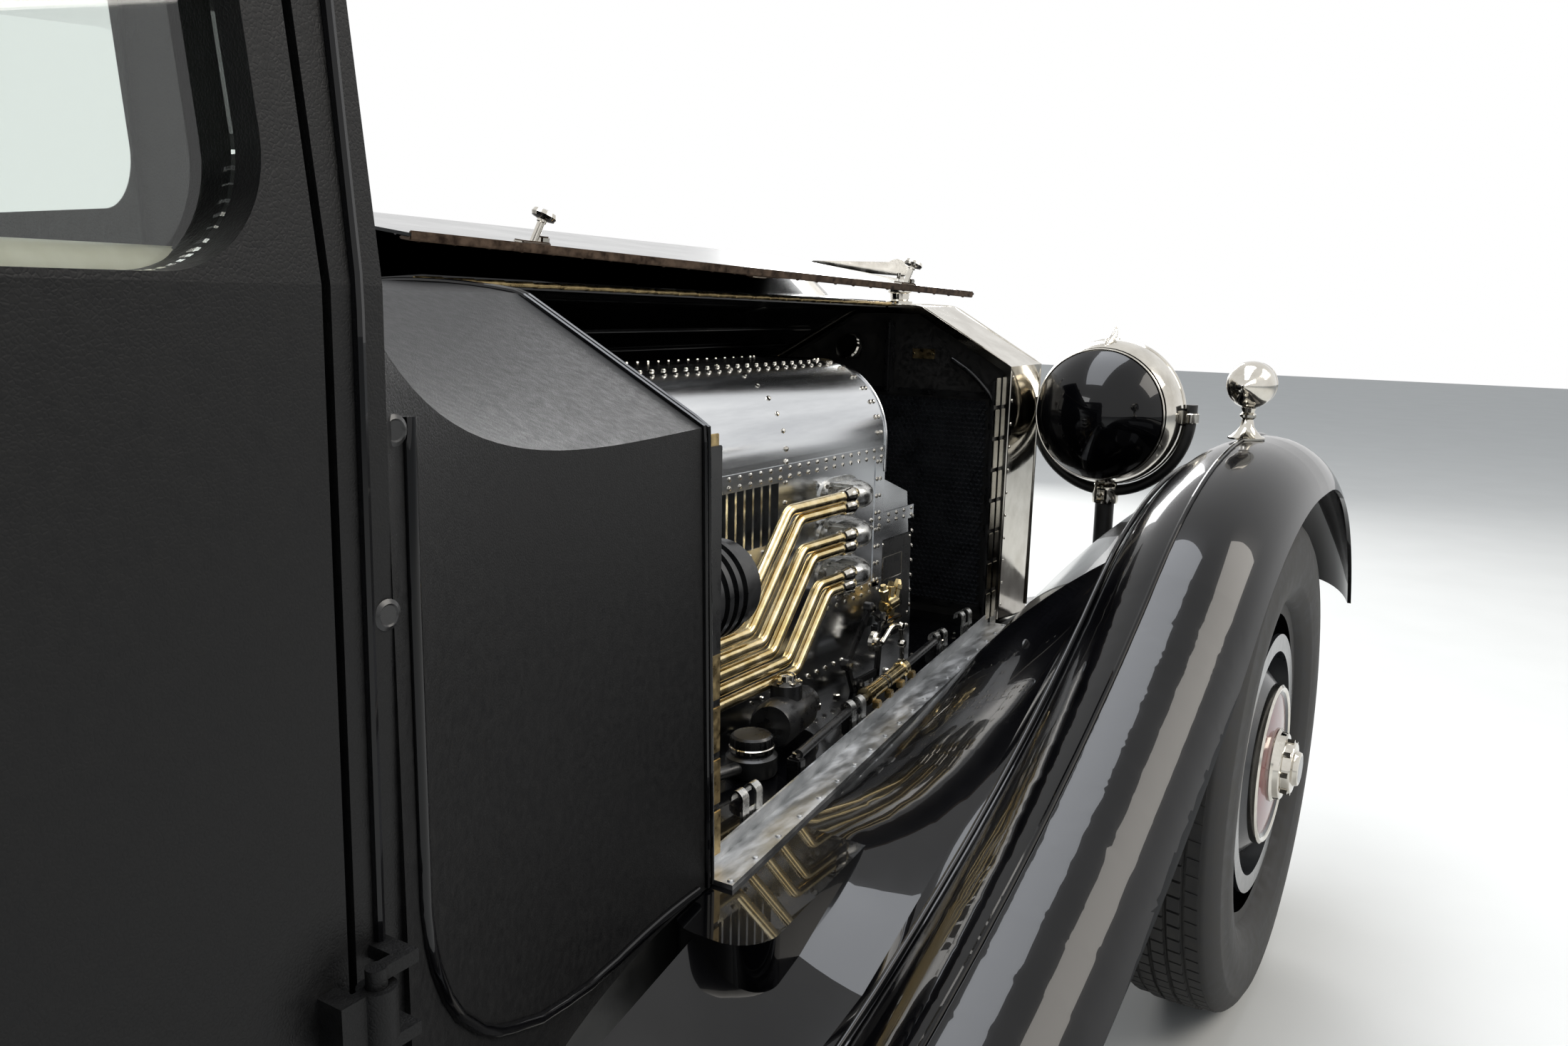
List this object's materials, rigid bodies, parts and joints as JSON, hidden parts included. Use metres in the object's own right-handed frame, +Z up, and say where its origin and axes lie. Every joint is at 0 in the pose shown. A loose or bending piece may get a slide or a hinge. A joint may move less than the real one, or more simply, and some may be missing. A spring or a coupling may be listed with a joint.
{
  "type": "vintage luxury car",
  "caption": "Closed four-door saloon on a separate chassis with sweeping wings, upright radiator, rear trunk, and a riveted drive cover under its open bonnet.",
  "frame": {"origin": "on the ground, on the centre plane, midway between the nose and the tail", "axes": "+X forward, +Y to the car's left, +Z up"},
  "size_m": [5.3999, 1.746, 1.7648],
  "materials": {
    "grained_cloth": "coated cloth with a fine grain, semi-matt",
    "black_paint": "gloss coach enamel",
    "chassis_black": "semi-gloss chassis black",
    "wheel_paint": "gloss enamel",
    "tyre_rubber": "matt",
    "nickel": "polished nickel plate",
    "aluminium": "polished sheet",
    "brass": "polished",
    "clear_glass": "clear",
    "carpet": "cut pile",
    "walnut": "varnished",
    "hide": "soft grain",
    "black_plastic": "gloss"
  },
  "bodies": {
    "car": {"bay_fittings": "black_paint", "bay_tray": "black_paint", "body_shell": "grained_cloth", "bonnet_centre_rod": "brass", "bonnet_ledges": "aluminium", "bonnet_left_side": "black_paint", "bonnet_left_top": "black_paint", "bulkhead": "black_paint", "chassis_frame": "chassis_black", "coolant_pipes": "brass", "dashboard": "walnut", "drive_cover": "aluminium", "fixed_glass": "clear_glass", "floor": "carpet", "front_axle": "chassis_black", "front_seats": "hide", "front_valances": "black_paint", "front_wings": "black_paint", "lamp_lenses": "clear_glass", "lamp_stays": "chassis_black", "lamps": "nickel", "leaf_springs": "chassis_black", "radiator_cap": "nickel", "radiator_core": "black_paint", "radiator_shell": "nickel", "rear_axle": "chassis_black", "rear_seat": "hide", "rear_wings": "black_paint", "roof": "grained_cloth", "running_boards": "black_paint", "scuttle": "grained_cloth", "spare_tyre": "tyre_rubber", "spare_wheel": "wheel_paint", "steering_column": "black_paint", "trunk": "black_paint", "wheel_houses": "black_paint"},
    "knuckle_right": {"knuckle_right": "chassis_black"},
    "knuckle_left": {"knuckle_left": "chassis_black"},
    "track_rod": {"track_rod": "chassis_black"},
    "steering_wheel": {"steering_wheel": "black_plastic"},
    "wheel_front_right": {"wheel_front_right": "wheel_paint", "tyre_front_right": "tyre_rubber"},
    "wheel_front_left": {"wheel_front_left": "wheel_paint", "tyre_front_left": "tyre_rubber"},
    "wheel_rear_right": {"wheel_rear_right": "wheel_paint", "tyre_rear_right": "tyre_rubber"},
    "wheel_rear_left": {"wheel_rear_left": "wheel_paint", "tyre_rear_left": "tyre_rubber"},
    "door_front_right": {"door_front_right": "grained_cloth", "door_front_glass_right": "clear_glass"},
    "door_front_left": {"door_front_left": "grained_cloth", "door_front_glass_left": "clear_glass"},
    "door_rear_right": {"door_rear_right": "grained_cloth", "door_rear_glass_right": "clear_glass"},
    "door_rear_left": {"door_rear_left": "grained_cloth", "door_rear_glass_left": "clear_glass"},
    "bonnet_right_top": {"bonnet_right_top": "black_paint"},
    "bonnet_right_side": {"bonnet_right_side": "black_paint"},
    "trunk_lid": {"trunk_lid": "black_paint"}
  },
  "joints": [
    {"name": "steer_right", "type": "hinge", "parent": "car", "child": "knuckle_right", "pos_m": [2.05, -0.628, 0.443], "axis": [0, 0, 1], "range_deg": [-30, 30]},
    {"name": "steer_left", "type": "hinge", "parent": "car", "child": "knuckle_left", "pos_m": [2.05, 0.628, 0.443], "axis": [0, 0, 1], "range_deg": [-30, 30]},
    {"name": "track_rod_swing", "type": "hinge", "parent": "knuckle_right", "child": "track_rod", "pos_m": [1.86, -0.628, 0.329], "axis": [0, 0, 1], "range_deg": [-30, 30]},
    {"name": "steering_wheel_turn", "type": "hinge", "parent": "car", "child": "steering_wheel", "pos_m": [-0.133, -0.34, 1.12], "axis": [0.9135, 0, -0.4067], "range_deg": [-540, 540]},
    {"name": "roll_front_right", "type": "hinge", "parent": "knuckle_right", "child": "wheel_front_right", "pos_m": [2.05, -0.743, 0.443], "axis": [0, 1, 0], "continuous": true},
    {"name": "roll_front_left", "type": "hinge", "parent": "knuckle_left", "child": "wheel_front_left", "pos_m": [2.05, 0.743, 0.443], "axis": [0, 1, 0], "continuous": true},
    {"name": "roll_rear_right", "type": "hinge", "parent": "car", "child": "wheel_rear_right", "pos_m": [-1.76, -0.743, 0.443], "axis": [0, 1, 0], "continuous": true},
    {"name": "roll_rear_left", "type": "hinge", "parent": "car", "child": "wheel_rear_left", "pos_m": [-1.76, 0.743, 0.443], "axis": [0, 1, 0], "continuous": true},
    {"name": "door_front_right_swing", "type": "hinge", "parent": "car", "child": "door_front_right", "pos_m": [0.227, -0.67072, 0.95], "axis": [0, 0, 1], "range_deg": [0, 70]},
    {"name": "door_rear_right_swing", "type": "hinge", "parent": "car", "child": "door_rear_right", "pos_m": [-1.12, -0.74671, 0.95], "axis": [0, 0, -1], "range_deg": [0, 70]},
    {"name": "door_front_left_swing", "type": "hinge", "parent": "car", "child": "door_front_left", "pos_m": [0.227, 0.67072, 0.95], "axis": [0, 0, -1], "range_deg": [0, 70]},
    {"name": "door_rear_left_swing", "type": "hinge", "parent": "car", "child": "door_rear_left", "pos_m": [-1.12, 0.74671, 0.95], "axis": [0, 0, 1], "range_deg": [0, 70]},
    {"name": "bonnet_right_close", "type": "hinge", "parent": "car", "child": "bonnet_right_top", "pos_m": [0.874, 0, 1.2585], "axis": [0.9998, 0, -0.0181], "range_deg": [0, 186]},
    {"name": "bonnet_right_side_fold", "type": "hinge", "parent": "bonnet_right_top", "child": "bonnet_right_side", "pos_m": [0.87867, 0.43705, 1.36474], "axis": [0.9909, -0.131, -0.0297], "range_deg": [-104, 0]},
    {"name": "trunk_lid_lift", "type": "hinge", "parent": "car", "child": "trunk_lid", "pos_m": [-2.211, 0, 1.155], "axis": [0, 1, 0], "range_deg": [0, 80]}
  ],
  "couplings": [
    {"joint": "steer_left", "follows": "steer_right", "ratio": 1},
    {"joint": "track_rod_swing", "follows": "steer_right", "ratio": -1},
    {"joint": "steering_wheel_turn", "follows": "steer_right", "ratio": -18},
    {"joint": "bonnet_right_side_fold", "follows": "bonnet_right_close", "ratio": -0.55914}
  ]
}
